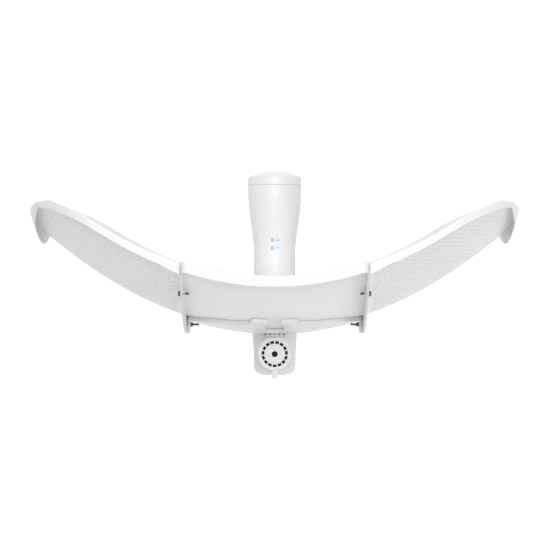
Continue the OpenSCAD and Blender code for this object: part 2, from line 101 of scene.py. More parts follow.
class EffectGroup:
    """A shader node group under construction, with short calls for its nodes and links."""

    def __init__(self, name: str, inputs: Sequence[tuple[str, float]], outputs: Sequence[str]) -> None:
        """Make the group and its sockets.

        Args:
            name: The group's name.
            inputs: A name and a default for each number the group takes.
            outputs: The names of the values the group puts out.
        """
        self.tree = bpy.data.node_groups.new(name, "ShaderNodeTree")
        for label, default in inputs:
            socket = self.tree.interface.new_socket(label, in_out="INPUT", socket_type="NodeSocketFloat")
            socket.default_value = default
        for label in outputs:
            self.tree.interface.new_socket(label, in_out="OUTPUT", socket_type="NodeSocketFloat")
        self.entry = self.tree.nodes.new("NodeGroupInput")
        self.exit = self.tree.nodes.new("NodeGroupOutput")

    def add(self, kind: str, **values: object) -> bpy.types.Node:
        """Add a node and set its properties.

        Args:
            kind: The node's type name.
            **values: Properties of the node, by name.

        Returns:
            The new node.
        """
        node = self.tree.nodes.new(kind)
        for key, value in values.items():
            setattr(node, key, value)
        return node

    def join(self, source: bpy.types.NodeSocket, target: bpy.types.NodeSocket) -> None:
        """Link two sockets."""
        self.tree.links.new(source, target)

    def sum(self, operation: str, first: object, second: object) -> bpy.types.NodeSocket:
        """Add a Math node.

        Args:
            operation: The Math node's operation.
            first: A socket or a number.
            second: A socket or a number.

        Returns:
            The node's output socket.
        """
        node = self.add("ShaderNodeMath", operation=operation)
        for slot, value in enumerate((first, second)):
            if isinstance(value, (int, float)):
                node.inputs[slot].default_value = value
            else:
                self.join(value, node.inputs[slot])
        return node.outputs[0]


class EffectLibrary:
    """The node groups that several finishes share, each built once."""

    def __init__(self) -> None:
        """Build every shared group."""
        self.grain = self._grain()
        self.mottle = self._mottle()
        self.weather = self._weather()
        self.brushing = self._brushing()

    @staticmethod
    def _noise(group: EffectGroup, scale: object, detail: float, coordinate: bpy.types.NodeSocket) -> bpy.types.Node:
        """Add a noise texture to a group.

        Args:
            group: The group to add to.
            scale: A number, or a socket that gives one.
            detail: Octaves of noise.
            coordinate: Where the pattern reads its place from.

        Returns:
            The noise node.
        """
        noise = group.add("ShaderNodeTexNoise")
        noise.inputs["Detail"].default_value = detail
        if isinstance(scale, (int, float)):
            noise.inputs["Scale"].default_value = scale
        else:
            group.join(scale, noise.inputs["Scale"])
        group.join(coordinate, noise.inputs["Vector"])
        return noise

    def _grain(self) -> bpy.types.NodeTree:
        """Return the fine orange-peel height of a sprayed or moulded surface."""
        group = EffectGroup("fine_grain", [("Scale", 900.0), ("Depth", 1.0)], ["Height"])
        place = group.add("ShaderNodeTexCoord").outputs["Object"]
        fine = self._noise(group, group.entry.outputs["Scale"], 2.0, place)
        broad = self._noise(group, group.sum("MULTIPLY", group.entry.outputs["Scale"], 0.3), 1.0, place)
        mixed = group.sum("ADD", group.sum("MULTIPLY", fine.outputs["Fac"], 0.65),
                          group.sum("MULTIPLY", broad.outputs["Fac"], 0.35))
        group.join(group.sum("MULTIPLY", mixed, group.entry.outputs["Depth"]), group.exit.inputs["Height"])
        return group.tree

    def _mottle(self) -> bpy.types.NodeTree:
        """Return soft patches that vary a finish's colour and gloss."""
        group = EffectGroup("soft_mottle", [("Scale", 12.0), ("Amount", 0.5)], ["Mask"])
        place = group.add("ShaderNodeTexCoord").outputs["Object"]
        patches = self._noise(group, group.entry.outputs["Scale"], 3.0, place)
        centred = group.sum("SUBTRACT", patches.outputs["Fac"], 0.5)
        spread = group.sum("MULTIPLY", centred, group.entry.outputs["Amount"])
        group.join(group.sum("ADD", spread, 0.5), group.exit.inputs["Mask"])
        return group.tree

    def _weather(self) -> bpy.types.NodeTree:
        """Return a mask of fine dust that settles on faces that look up, and of faint rain streaks."""
        group = EffectGroup("settled_dust", [("Scale", 160.0), ("Amount", 0.3)], ["Mask"])
        place = group.add("ShaderNodeTexCoord").outputs["Object"]
        facing = group.add("ShaderNodeSeparateXYZ")
        group.join(group.add("ShaderNodeNewGeometry").outputs["Normal"], facing.inputs[0])
        upward = group.sum("MAXIMUM", facing.outputs["Z"], 0.0)
        specks = self._noise(group, group.entry.outputs["Scale"], 4.0, place)
        sharp = group.add("ShaderNodeMapRange")
        sharp.inputs["From Min"].default_value = 0.52
        sharp.inputs["From Max"].default_value = 0.70
        group.join(specks.outputs["Fac"], sharp.inputs["Value"])
        stretch = group.add("ShaderNodeMapping")
        stretch.inputs["Scale"].default_value = (1.0, 1.0, 0.06)
        group.join(place, stretch.inputs["Vector"])
        streaks = self._noise(group, 140.0, 2.0, stretch.outputs["Vector"])
        runs = group.add("ShaderNodeMapRange")
        runs.inputs["From Min"].default_value = 0.58
        runs.inputs["From Max"].default_value = 0.80
        runs.inputs["To Max"].default_value = 0.35
        group.join(streaks.outputs["Fac"], runs.inputs["Value"])
        settled = group.sum("MULTIPLY", sharp.outputs["Result"], group.sum("ADD", upward, 0.15))
        both = group.sum("MAXIMUM", settled, runs.outputs["Result"])
        group.join(group.sum("MULTIPLY", both, group.entry.outputs["Amount"]), group.exit.inputs["Mask"])
        return group.tree

    def _brushing(self) -> bpy.types.NodeTree:
        """Return the streaks that brushing leaves along X."""
        group = EffectGroup("brushed_streaks", [("Scale", 900.0), ("Depth", 1.0)], ["Height"])
        place = group.add("ShaderNodeTexCoord").outputs["Object"]
        stretch = group.add("ShaderNodeMapping")
        stretch.inputs["Scale"].default_value = (0.05, 1.0, 1.0)
        group.join(place, stretch.inputs["Vector"])
        streaks = self._noise(group, group.entry.outputs["Scale"], 3.0, stretch.outputs["Vector"])
        group.join(group.sum("MULTIPLY", streaks.outputs["Fac"], group.entry.outputs["Depth"]),
                   group.exit.inputs["Height"])
        return group.tree


class Texture(Enum):
    """The small-scale surface that a finish carries."""

    GRAIN = "grain"
    BRUSHED = "brushed"


@dataclass(frozen=True)
class Finish:
    """One real surface finish, and the material that shows it."""

    name: str
    colour: tuple[float, float, float]
    shade: tuple[float, float, float]
    roughness: float
    gloss_spread: float = 0.10
    metallic: float = 0.0
    texture: Texture = Texture.GRAIN
    texture_scale: float = 1400.0
    texture_depth: float = 0.00006
    mottle_scale: float = 9.0
    mottle_amount: float = 0.8
    dust: float = 0.10
    dust_colour: tuple[float, float, float] = (0.50, 0.48, 0.44)
    coat: float = 0.0
    coat_roughness: float = 0.2
    glow: float = 0.0
    glow_colour: tuple[float, float, float] = (1.0, 1.0, 1.0)
    specular: float = 0.5

    def material(self, effects: EffectLibrary) -> bpy.types.Material:
        """Build the material once, and return it.

        Args:
            effects: The shared node groups.

        Returns:
            The material of this finish.
        """
        made = bpy.data.materials.get(self.name)
        if made:
            return made
        made = bpy.data.materials.new(self.name)
        made.use_nodes = True
        tree = made.node_tree
        shader = next(n for n in tree.nodes if n.type == "BSDF_PRINCIPLED")
        shader.inputs["Metallic"].default_value = self.metallic
        shader.inputs["Specular IOR Level"].default_value = self.specular
        shader.inputs["Coat Weight"].default_value = self.coat
        shader.inputs["Coat Roughness"].default_value = self.coat_roughness
        self._colour_nodes(tree, shader, effects)
        self._relief_nodes(tree, shader, effects)
        if self.glow:
            shader.inputs["Emission Color"].default_value = (*self.glow_colour, 1.0)
            shader.inputs["Emission Strength"].default_value = self.glow
        made.diffuse_color = (*self.colour, 1.0)
        return made

    def _group(self, tree: bpy.types.NodeTree, effect: bpy.types.NodeTree, **values: float) -> bpy.types.Node:
        """Place a shared group in the material.

        Args:
            tree: The material's node tree.
            effect: The group.
            **values: The group's inputs, by name.

        Returns:
            The group node.
        """
        node = tree.nodes.new("ShaderNodeGroup")
        node.node_tree = effect
        for key, value in values.items():
            node.inputs[key].default_value = value
        return node

    def _colour_nodes(self, tree: bpy.types.NodeTree, shader: bpy.types.Node, effects: EffectLibrary) -> None:
        """Wire colour and roughness: patches of shade, then dust over both.

        Args:
            tree: The material's node tree.
            shader: Its Principled BSDF.
            effects: The shared node groups.
        """
        mottle = self._group(tree, effects.mottle, Scale=self.mottle_scale, Amount=self.mottle_amount)
        dust = self._group(tree, effects.weather, Amount=self.dust)
        body = tree.nodes.new("ShaderNodeMix")
        body.data_type = "RGBA"
        body.inputs["A"].default_value = (*self.colour, 1.0)
        body.inputs["B"].default_value = (*self.shade, 1.0)
        tree.links.new(mottle.outputs["Mask"], body.inputs["Factor"])
        dusty = tree.nodes.new("ShaderNodeMix")
        dusty.data_type = "RGBA"
        dusty.inputs["B"].default_value = (*self.dust_colour, 1.0)
        tree.links.new(dust.outputs["Mask"], dusty.inputs["Factor"])
        tree.links.new(body.outputs["Result"], dusty.inputs["A"])
        tree.links.new(dusty.outputs["Result"], shader.inputs["Base Color"])
        rough = tree.nodes.new("ShaderNodeMapRange")
        rough.inputs["To Min"].default_value = max(0.03, self.roughness - self.gloss_spread)
        rough.inputs["To Max"].default_value = min(1.0, self.roughness + self.gloss_spread)
        tree.links.new(mottle.outputs["Mask"], rough.inputs["Value"])
        matt = tree.nodes.new("ShaderNodeMath")
        matt.operation = "MULTIPLY_ADD"
        matt.inputs[1].default_value = 0.6
        matt.use_clamp = True
        tree.links.new(dust.outputs["Mask"], matt.inputs[0])
        tree.links.new(rough.outputs["Result"], matt.inputs[2])
        tree.links.new(matt.outputs[0], shader.inputs["Roughness"])

    def _relief_nodes(self, tree: bpy.types.NodeTree, shader: bpy.types.Node, effects: EffectLibrary) -> None:
        """Wire the fine relief to the shader's normal.

        Args:
            tree: The material's node tree.
            shader: Its Principled BSDF.
            effects: The shared node groups.
        """
        effect = effects.brushing if self.texture is Texture.BRUSHED else effects.grain
        relief = self._group(tree, effect, Scale=self.texture_scale)
        bump = tree.nodes.new("ShaderNodeBump")
        bump.inputs["Distance"].default_value = self.texture_depth
        bump.inputs["Strength"].default_value = 0.6
        tree.links.new(relief.outputs["Height"], bump.inputs["Height"])
        tree.links.new(bump.outputs["Normal"], shader.inputs["Normal"])


@dataclass(frozen=True)
class Finishes:
    """Every finish on the bridge."""

    powder: Finish = Finish("white_powder_coat", (0.80, 0.80, 0.80), (0.76, 0.76, 0.765), 0.46,
                            texture_scale=1100.0, texture_depth=0.00008, dust=0.05)
    perforated: Finish = Finish("powder_coated_mesh", (0.77, 0.77, 0.77), (0.73, 0.73, 0.735), 0.50,
                                texture_scale=1600.0, texture_depth=0.00005, dust=0.05)
    moulding: Finish = Finish("white_moulding", (0.80, 0.80, 0.80), (0.77, 0.77, 0.775), 0.40,
                              texture_scale=2400.0, texture_depth=0.00004, dust=0.06, coat=0.08)
    # housing: the same white plastic as the feed, painted darker as shade on the housing, dial, latch and cover,
    # which sit behind the reflector.
    housing: Finish = Finish("housing_painted_shade_moulding", (0.74, 0.74, 0.74), (0.70, 0.70, 0.705), 0.44,
                             texture_scale=2400.0, texture_depth=0.00004, dust=0.08)
    dark_bolt: Finish = Finish("dark_zinc_plate", (0.10, 0.10, 0.105), (0.17, 0.17, 0.17), 0.38, metallic=0.9,
                               texture_scale=2600.0, texture_depth=0.00005, dust=0.12)
    stainless: Finish = Finish("brushed_stainless", (0.62, 0.62, 0.61), (0.52, 0.52, 0.52), 0.30, metallic=1.0,
                               texture=Texture.BRUSHED, texture_scale=1500.0, texture_depth=0.00004, dust=0.10)
    # black_oxide_and_painted_shade: nearly black and not metallic, darker than real black oxide, so that the
    # retaining washer and swivel bolt paint the shade seen through the dial's slots and centre hole.
    black_oxide_and_painted_shade: Finish = Finish("black_oxide_and_painted_shade", (0.004, 0.004, 0.0045), (0.008, 0.008, 0.0085), 0.5,
                                 texture_scale=2600.0, dust=0.02, specular=0.2)
    tin: Finish = Finish("tin_plate", (0.72, 0.72, 0.70), (0.62, 0.62, 0.61), 0.26, metallic=1.0,
                         texture=Texture.BRUSHED, texture_scale=2200.0, dust=0.04)
    brass: Finish = Finish("flash_plated_brass", (0.80, 0.60, 0.26), (0.70, 0.50, 0.20), 0.28, metallic=1.0,
                           texture=Texture.BRUSHED, texture_scale=1800.0, dust=0.02)
    board: Finish = Finish("solder_mask", (0.012, 0.12, 0.05), (0.016, 0.15, 0.065), 0.34, coat=0.4,
                           texture_scale=1800.0, mottle_scale=160.0, dust=0.02)
    flex: Finish = Finish("polyimide_film", (0.46, 0.20, 0.04), (0.38, 0.16, 0.03), 0.30, coat=0.3, dust=0.02)
    light: Finish = Finish("blue_light_guide", (0.20, 0.44, 0.74), (0.27, 0.51, 0.80), 0.22, coat=0.5,
                           texture_scale=700.0, mottle_scale=900.0, dust=0.0, glow=0.12,
                           glow_colour=(0.25, 0.55, 1.0))
    legend: Finish = Finish("grey_print", (0.36, 0.36, 0.37), (0.42, 0.42, 0.43), 0.6, dust=0.0)
    dark_plastic: Finish = Finish("dark_satin_plastic", (0.035, 0.035, 0.037), (0.05, 0.05, 0.052), 0.45, dust=0.06)
    casting: Finish = Finish("coated_casting", (0.58, 0.58, 0.585), (0.52, 0.52, 0.525), 0.48,
                             texture_scale=700.0, texture_depth=0.00012, dust=0.10)
    acetal: Finish = Finish("natural_acetal", (0.74, 0.72, 0.65), (0.68, 0.66, 0.60), 0.36, dust=0.05)
    rubber: Finish = Finish("soft_seal_rubber", (0.055, 0.055, 0.057), (0.075, 0.075, 0.077), 0.72,
                            texture_scale=900.0, dust=0.15)
    # shadow_well: painted shade, a near-black finish for the pad under the latch's slots, where there is only shade.
    shadow_well: Finish = Finish("painted_shadow_plastic", (0.06, 0.06, 0.062), (0.09, 0.09, 0.092), 0.6, dust=0.0)


# ---------------------------------------------------------------------------------------------
# Mesh tools
# ---------------------------------------------------------------------------------------------


class Workshop:
    """Modelling calls that act as a hand would: one new object at a time, selected alone."""

    @staticmethod
    def clear() -> None:
        """Leave edit mode and deselect everything."""
        if bpy.context.object and bpy.context.object.mode != "OBJECT":
            bpy.ops.object.mode_set(mode="OBJECT")
        bpy.ops.object.select_all(action="DESELECT")

    @classmethod
    def only(cls, obj: bpy.types.Object) -> bpy.types.Object:
        """Select one object alone, and make it active."""
        cls.clear()
        obj.select_set(True)
        bpy.context.view_layer.objects.active = obj
        return obj

    @classmethod
    def edit(cls, obj: bpy.types.Object, *steps: Callable[[], object]) -> bpy.types.Object:
        """Run mesh steps in edit mode, each on the whole mesh.

        Args:
            obj: The object to edit.
            *steps: The calls to make, in order.

        Returns:
            The same object.
        """
        cls.only(obj)
        bpy.ops.object.mode_set(mode="EDIT")
        for step in steps:
            bpy.ops.mesh.select_all(action="SELECT")
            step()
        bpy.ops.object.mode_set(mode="OBJECT")
        return obj

    @classmethod
    def agree(cls, obj: bpy.types.Object) -> bpy.types.Object:
        """Make an object's normals agree with each other, and return it."""
        return cls.edit(obj, lambda: bpy.ops.mesh.normals_make_consistent(inside=False))

    @classmethod
    def apply(cls, obj: bpy.types.Object, kind: str, **values: object) -> bpy.types.Object:
        """Add a modifier to an object and apply it.

        Args:
            obj: The object.
            kind: The modifier's type.
            **values: The modifier's properties, by name.

        Returns:
            The same object.
        """
        cls.only(obj)
        mod = obj.modifiers.new(kind.lower(), kind)
        for key, value in values.items():
            setattr(mod, key, value)
        bpy.ops.object.modifier_apply(modifier=mod.name)
        return obj

    @classmethod
    def cylinder(cls, name: str, radius: float, depth: float, sides: int = 48) -> bpy.types.Object:
        """Add a cylinder about Z, centred at the origin.

        Args:
            name: The object's name.
            radius: Its radius.
            depth: Its length.
            sides: How many sides it has.

        Returns:
            The new object.
        """
        cls.clear()
        bpy.ops.mesh.primitive_cylinder_add(vertices=sides, radius=radius, depth=depth, location=(0, 0, 0))
        obj = bpy.context.object
        obj.name = name
        return obj

    @classmethod
    def block(cls, name: str, size: Sequence[float]) -> bpy.types.Object:
        """Add a block centred at the origin.

        Args:
            name: The object's name.
            size: Its length along X, Y and Z.

        Returns:
            The new object.
        """
        cls.clear()
        bpy.ops.mesh.primitive_cube_add(size=1.0, location=(0, 0, 0))
        obj = bpy.context.object
        obj.name = name
        obj.data.transform(Matrix.Diagonal((*size, 1.0)))
        return obj

    @classmethod
    def turned(cls, name: str, profile: Sequence[tuple[float, float]], steps: int = 96,
               closed: bool = False) -> bpy.types.Object:
        """Turn a profile about Z, as on a lathe.

        Args:
            name: The object's name.
            profile: Radius and height of each point, in order.
            steps: How many steps the full turn takes.
            closed: Whether the profile's last point joins its first.

        Returns:
            The turned object.
        """
        cls.clear()
        bpy.ops.mesh.primitive_plane_add(size=0.01, location=(0, 0, 0))
        obj = bpy.context.object
        obj.name = name
        edit = bmesh.new()
        points = [edit.verts.new((r, 0.0, h)) for r, h in profile]
        for a, b in zip(points, points[1:]):
            edit.edges.new((a, b))
        if closed:
            edit.edges.new((points[-1], points[0]))
        edit.to_mesh(obj.data)
        edit.free()
        cls.edit(obj, lambda: bpy.ops.mesh.spin(steps=steps, angle=math.tau, center=(0, 0, 0), axis=(0, 0, 1)),
                 lambda: bpy.ops.mesh.remove_doubles(threshold=0.000005))
        return cls.agree(obj)

    @classmethod
    def bevel(cls, obj: bpy.types.Object, width: float, segments: int = 2, angle: float = 40.0) -> bpy.types.Object:
        """Round an object's sharp edges.

        Args:
            obj: The object.
            width: The round's width.
            segments: Steps across the round.
            angle: Only edges sharper than this many degrees are rounded.

        Returns:
            The same object.
        """
        return cls.apply(obj, "BEVEL", width=width, segments=segments, limit_method="ANGLE",
                         angle_limit=math.radians(angle), harden_normals=False)

    @classmethod
    def thicken(cls, obj: bpy.types.Object, thickness: float, offset: float = -1.0) -> bpy.types.Object:
        """Give a sheet its thickness.

        Args:
            obj: The sheet.
            thickness: Its thickness.
            offset: -1 puts the wall behind the faces, 1 in front of them.

        Returns:
            The same object.
        """
        return cls.apply(obj, "SOLIDIFY", thickness=thickness, offset=offset, use_even_offset=False,
                         use_quality_normals=True)

    @classmethod
    def cut(cls, obj: bpy.types.Object, tool: bpy.types.Object) -> bpy.types.Object:
        """Cut one object's shape out of another, and delete the tool.

        Args:
            obj: The object that is cut.
            tool: The shape to take away.

        Returns:
            The object that was cut.
        """
        cls.apply(obj, "BOOLEAN", operation="DIFFERENCE", object=tool, solver="EXACT")
        bpy.data.objects.remove(tool, do_unlink=True)
        return obj

    @classmethod
    def smooth(cls, obj: bpy.types.Object, angle: float = 35.0) -> bpy.types.Object:
        """Shade an object smooth up to an angle in degrees, and return it."""
        cls.only(obj)
        bpy.ops.object.shade_smooth_by_angle(angle=math.radians(angle))
        return obj

    @staticmethod
    def place(obj: bpy.types.Object, matrix: Matrix) -> bpy.types.Object:
        """Move the mesh itself, so that the object stays at the origin, and return the object."""
        obj.data.transform(matrix)
        if matrix.determinant() < 0:
            obj.data.flip_normals()
        return obj

    @classmethod
    def copy(cls, obj: bpy.types.Object, name: str, matrix: Matrix) -> bpy.types.Object:
        """Copy an object with its own mesh, and move the copy's mesh.

        Args:
            obj: The object to copy.
            name: The copy's name.
            matrix: How the copy's mesh is moved.

        Returns:
            The copy.
        """
        twin = obj.copy()
        twin.data = obj.data.copy()
        twin.name = name
        bpy.context.scene.collection.objects.link(twin)
        return cls.place(twin, matrix)

    @classmethod
    def join(cls, name: str, parts: Sequence[bpy.types.Object]) -> bpy.types.Object:
        """Join several objects into the first one.

        Args:
            name: The joined object's name.
            parts: The objects.

        Returns:
            The joined object.
        """
        cls.clear()
        for part in parts:
            part.select_set(True)
        bpy.context.view_layer.objects.active = parts[0]
        if len(parts) > 1:
            bpy.ops.object.join()
        parts[0].name = name
        return parts[0]

    @staticmethod
    def mesh(name: str, points: Iterable[Sequence[float]], faces: Iterable[Sequence[int]]) -> bpy.types.Object:
        """Make an object from points and faces.

        Args:
            name: The object's name.
            points: The corner points.
            faces: The faces, as indices into the points.

        Returns:
            The new object.
        """
        data = bpy.data.meshes.new(name)
        data.from_pydata([tuple(p) for p in points], [], [tuple(f) for f in faces])
        data.update()
        obj = bpy.data.objects.new(name, data)
        bpy.context.scene.collection.objects.link(obj)
        return obj


FACE_FORWARD = Matrix.Rotation(math.radians(-90), 4, "X")
FACE_RIGHT = Matrix.Rotation(math.radians(90), 4, "Y")


@dataclass
class Maker:
    """What every sub-assembly needs: the effects, the finishes and a way to hand a piece over."""

    effects: EffectLibrary
    finishes: Finishes

    def finish(self, obj: bpy.types.Object, finish: Finish, body: Body, slot: str,
               replaces: Sequence[str] = ()) -> bpy.types.Object:
        """Dress a finished piece and hand it to the frame.

        Args:
            obj: The piece.
            finish: Its finish.
            body: The body it rides on.
            slot: A material slot's name; not used.
            replaces: The CAD nodes it stands for.

        Returns:
            The piece.
        """
        obj.data.materials.clear()
        obj.data.materials.append(finish.material(self.effects))
        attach(obj, body.value)
        if replaces:
            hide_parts(*replaces)
        log.info("%s rides on %s, %d faces", obj.name, body.value, len(obj.data.polygons))
        return obj


# ---------------------------------------------------------------------------------------------
# Reflector
# ---------------------------------------------------------------------------------------------


@dataclass
class PanelOutline:
    """A panel's front edge in X and Z: straight sides with a quarter ellipse at each corner."""

    low_x: float
    high_x: float
    half_height: float
    low_corner: tuple[float, float]
    high_corner: tuple[float, float]
    step: float = 0.004
    least: float = 0.0012

    def _corners(self, inset: float) -> list[tuple[float, float, float, float, float]]:
        """Return each corner's centre, half axes and first angle, walked anticlockwise from lower right."""
        low = tuple(max(v - inset, self.least) for v in self.low_corner)
        high = tuple(max(v - inset, self.least) for v in self.high_corner)
        left, right, top = self.low_x + inset, self.high_x - inset, self.half_height - inset
        return [
            (right - high[0], high[1] - top, high[0], high[1], -90.0),
            (right - high[0], top - high[1], high[0], high[1], 0.0),
            (left + low[0], top - low[1], low[0], low[1], 90.0),
            (left + low[0], low[1] - top, low[0], low[1], 180.0),
        ]

    def _steps(self) -> tuple[list[int], list[int]]:
        """Return how many steps each corner and each side takes, the same for every inset."""
        corners = self._corners(0.0)
        turns = [max(5, round((c[2] + c[3]) * 0.79 / self.step)) for c in corners]
        sides = []
        for i, c in enumerate(corners):
            n = corners[(i + 1) % 4]
            sides.append(max(2, round(math.dist(self._on(c, 90.0), self._on(n, 0.0)) / self.step)))
        return turns, sides

    @staticmethod
    def _on(corner: tuple[float, float, float, float, float], angle: float) -> tuple[float, float]:
        """Return the point of a corner at an angle from its start."""
        turn = math.radians(corner[4] + angle)
        return corner[0] + corner[2] * math.cos(turn), corner[1] + corner[3] * math.sin(turn)

    def at(self, inset: float) -> list[tuple[float, float]]:
        """Return the outline moved inwards; every inset gives the same number of points.

        Args:
            inset: How far inwards.

        Returns:
            The points, anticlockwise in X and Z.
        """
        corners = self._corners(inset)
        turns, sides = self._steps()
        points = []
        for i, corner in enumerate(corners):
            points += [self._on(corner, 90.0 * k / turns[i]) for k in range(turns[i])]
            a, b = self._on(corner, 90.0), self._on(corners[(i + 1) % 4], 0.0)
            points += [(a[0] + (b[0] - a[0]) * k / sides[i], a[1] + (b[1] - a[1]) * k / sides[i])
                       for k in range(sides[i])]
        return points


@dataclass
class LipPoint:
    """How the lip hangs at one point of the front edge."""

    way: Vector
    depth: float
    bend: float


@dataclass
class PressedSheet:
    """A pressed sheet swept round an outline: skin rings, then a rounded bend, then the lip."""

    name: str
    outline: PanelOutline
    lip_at: Callable[[float, float], LipPoint]
    reach_at: Callable[[float, float], float]
    deepest: float = 0.023
    shares: Sequence[float] = (1.0, 0.92, 0.84)
    wall: float = 0.00105
    front: float = 0.00006
    bend_steps: int = 6
    lip_steps: int = 3
    hole: float = 0.0
    hole_rings: int = 28

    def _skin(self, x: float, z: float) -> Vector:
        """Return the skin's front at x, z."""
        return Vector((x, para(x, z) - self.front, z))

    def rings(self) -> list[list[Vector]]:
        """Return every ring of points, from the innermost to the lip's rear edge."""
        edge = self.outline.at(0.0)
        lips = [self.lip_at(x, z) for x, z in edge]
        deep = self.outline.at(self.deepest)
        rings = []
        for share in self.shares:
            ring = []
            for (x, z), (dx, dz) in zip(edge, deep):
                t = share * self.reach_at(x, z) / self.deepest
                ring.append(self._skin(x + (dx - x) * t, z + (dz - z) * t))
            rings.append(ring)
        if self.hole:
            rings = self._from_hole(rings[0]) + rings
        bent = []
        for i, (x, z) in enumerate(edge):
            inner = rings[-1][i]
            towards = Vector((inner.x - x, 0.0, inner.z - z)).normalized()
            first = self._skin(x + towards.x * lips[i].bend, z + towards.z * lips[i].bend)
            corner = self._skin(x, z)
            drop = min(lips[i].bend, 0.75 * lips[i].depth)
            last = corner + lips[i].way * drop
            line = [first]
            for k in range(1, self.bend_steps + 1):
                t = k / self.bend_steps
                line.append(first * (1 - t) ** 2 + corner * (2 * t * (1 - t)) + last * (t * t))
            rest = lips[i].depth - drop
            line += [last + lips[i].way * (rest * k / self.lip_steps) for k in range(1, self.lip_steps + 1)]
            bent.append(line)
        rings += [[line[k] for line in bent] for k in range(len(bent[0]))]
        return rings

    def _from_hole(self, outer: list[Vector]) -> list[list[Vector]]:
        """Return the rings that lead from a round hole in the middle out to a ring.

        Args:
            outer: The ring that they lead to.

        Returns:
            The rings, the hole's edge first.
        """
        rings = []
        for k in range(self.hole_rings):
            t = k / self.hole_rings
            ring = []
            for point in outer:
                angle = math.atan2(point.z, point.x)
                x = math.cos(angle) * self.hole
                z = math.sin(angle) * self.hole
                ring.append(self._skin(x + (point.x - x) * t, z + (point.z - z) * t))
            rings.append(ring)
        return rings

    def build(self) -> bpy.types.Object:
        """Return the sheet with its wall, in the row frame."""
        rings = self.rings()
        count = len(rings[0])
        points = [p + VERTEX for ring in rings for p in ring]
        faces = []
        for k in range(len(rings) - 1):
            for i in range(count):
                j = (i + 1) % count
                faces.append((k * count + i, k * count + j, (k + 1) * count + j, (k + 1) * count + i))
        obj = Workshop.mesh(self.name, points, faces)
        face_forward(obj)
        Workshop.thicken(obj, self.wall)
        return obj


def smoothstep(value: float) -> float:
    """Return value eased from 0 to 1."""
    value = max(0.0, min(1.0, value))
    return value * value * (3 - 2 * value)


def face_forward(obj: bpy.types.Object) -> None:
    """Make a sheet's normals agree, with the skin's facing +Y and the lip's facing outwards.

    Args:
        obj: The sheet, before it has a wall.
    """
    Workshop.agree(obj)
    if sum(f.normal.y * f.area for f in obj.data.polygons) < 0:
        obj.data.flip_normals()


@dataclass
class CentrePanel(Maker):
    """The solid middle panel: a parabolic skin with a lip above and below and a flange each side."""

    half_height: float = CENTRE_HALF_HEIGHT
    lip_depth: float = 0.014
    flange_extra: float = 0.009
    corner: float = 0.006
    hole: float = 0.0234
    half_width: float = PARTING_X - PARTING_GAP

    def lip_at(self, x: float, z: float) -> LipPoint:
        """Return the lip at a point of the edge: deepest at the flanges, at mid height.

        Args:
            x: The point's X.
            z: The point's Z.

        Returns:
            The lip there.
        """
        flange = smoothstep((abs(x) - (self.half_width - self.corner)) / self.corner)
        depth = self.lip_depth + flange * self.flange_extra * (1 - (z / self.half_height) ** 2)
        return LipPoint(Vector((0.0, -1.0, 0.0)), depth, 0.0030 - 0.0010 * flange)

    def build(self) -> bpy.types.Object:
        """Return the panel, with its feed hole, in the row frame."""
        outline = PanelOutline(-self.half_width, self.half_width, self.half_height,
                               (self.corner, self.corner), (self.corner, self.corner))
        sheet = PressedSheet("centre_panel_sheet", outline, self.lip_at, lambda x, z: 0.010, deepest=0.010,
                             shares=(1.0, 0.7, 0.45), hole=self.hole)
        obj = Workshop.smooth(sheet.build(), 40)
        return self.finish(obj, self.finishes.powder, Body.ANTENNA, "powder_coated_steel", ["centre_panel"])


